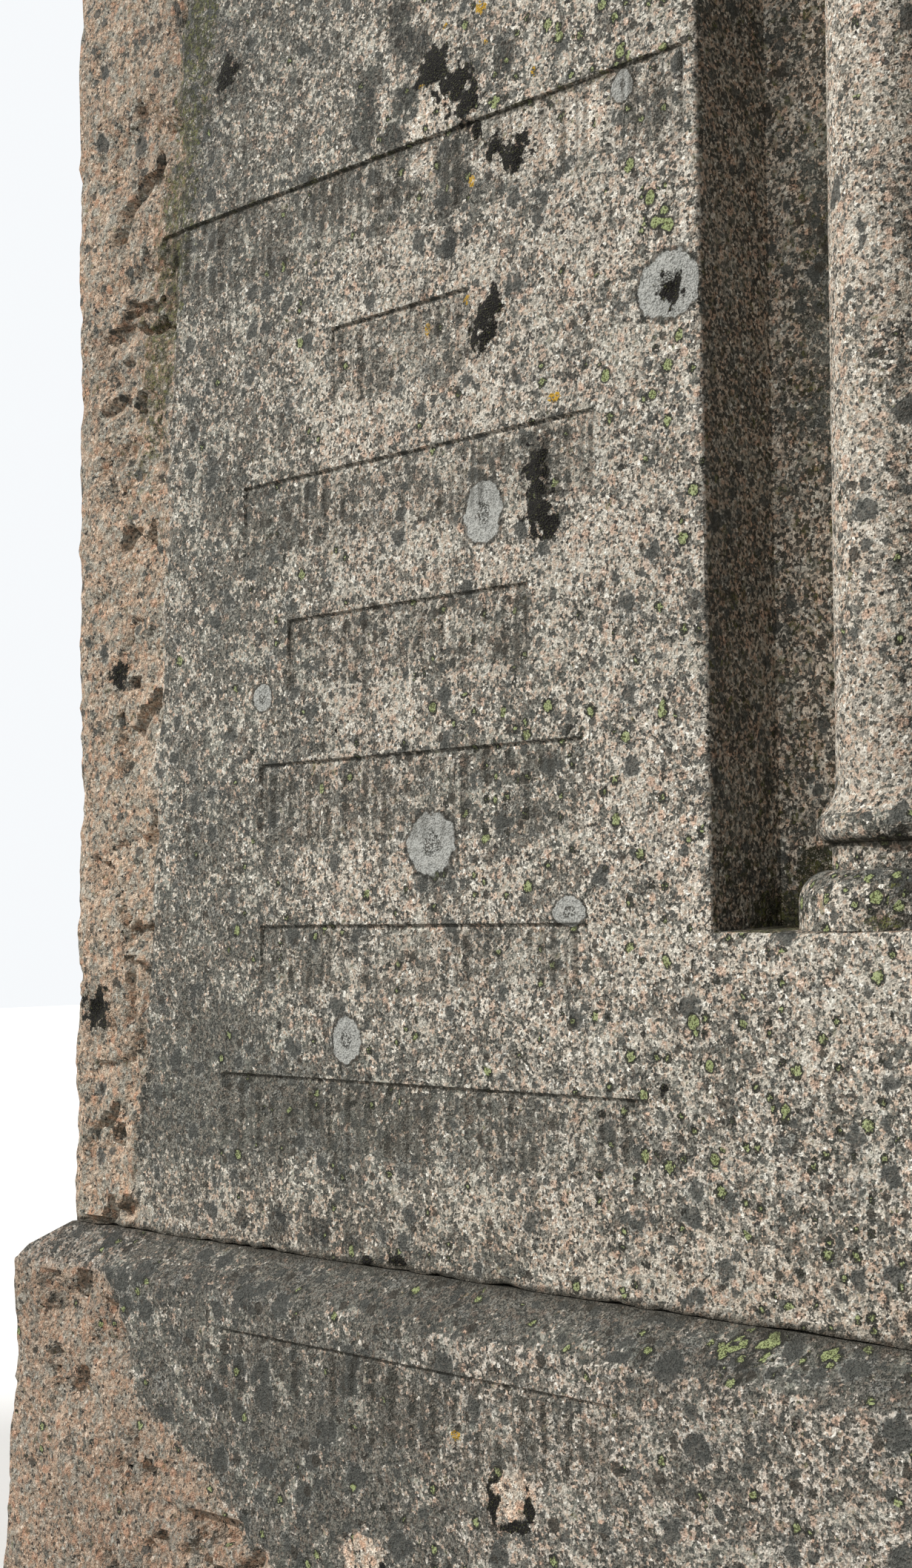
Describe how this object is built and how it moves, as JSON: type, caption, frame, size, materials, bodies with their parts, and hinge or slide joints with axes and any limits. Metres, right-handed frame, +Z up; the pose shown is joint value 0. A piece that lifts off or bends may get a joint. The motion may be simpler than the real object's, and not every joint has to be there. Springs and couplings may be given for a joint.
{
  "type": "obelisk pedestal",
  "caption": "Square granite pedestal stage of an obelisk, with a weathered plinth and cap, recessed engaged columns and sunken bands.",
  "frame": {"origin": "centre of the plan at ground level, under the middle of the plinth's bottom bed", "axes": "+Z up, the front face with the sunken bands looks along -Y, +X to the right of someone who faces it"},
  "size_m": [1.8902, 1.8938, 2.38],
  "materials": {
    "die_granite": "fine-dressed pink-grey granite, weathered, grey lichen crust",
    "plinth_granite": "dressed pink-grey granite, nearly covered by dark grey lichen on the slope",
    "column_granite": "turned pink-grey granite, clean shaft, yellow-green lichen on the base",
    "cap_granite": "dressed pink-grey granite, weathered",
    "core_masonry": "rough masonry filling, out of sight"
  },
  "bodies": {
    "root": {"front_plinth_stone": "plinth_granite", "right_plinth_stone": "plinth_granite", "back_plinth_stone": "plinth_granite", "left_plinth_stone": "plinth_granite", "front_die_stone": "die_granite", "right_die_stone": "die_granite", "back_die_stone": "die_granite", "left_die_stone": "die_granite", "front_column_base": "column_granite", "right_column_base": "column_granite", "back_column_base": "column_granite", "left_column_base": "column_granite", "front_column_shaft": "column_granite", "right_column_shaft": "column_granite", "back_column_shaft": "column_granite", "left_column_shaft": "column_granite", "front_column_capital": "column_granite", "right_column_capital": "column_granite", "back_column_capital": "column_granite", "left_column_capital": "column_granite", "front_left_cap_stone": "cap_granite", "front_right_cap_stone": "cap_granite", "back_right_cap_stone": "cap_granite", "back_left_cap_stone": "cap_granite", "core": "core_masonry"}
  },
  "joints": []
}
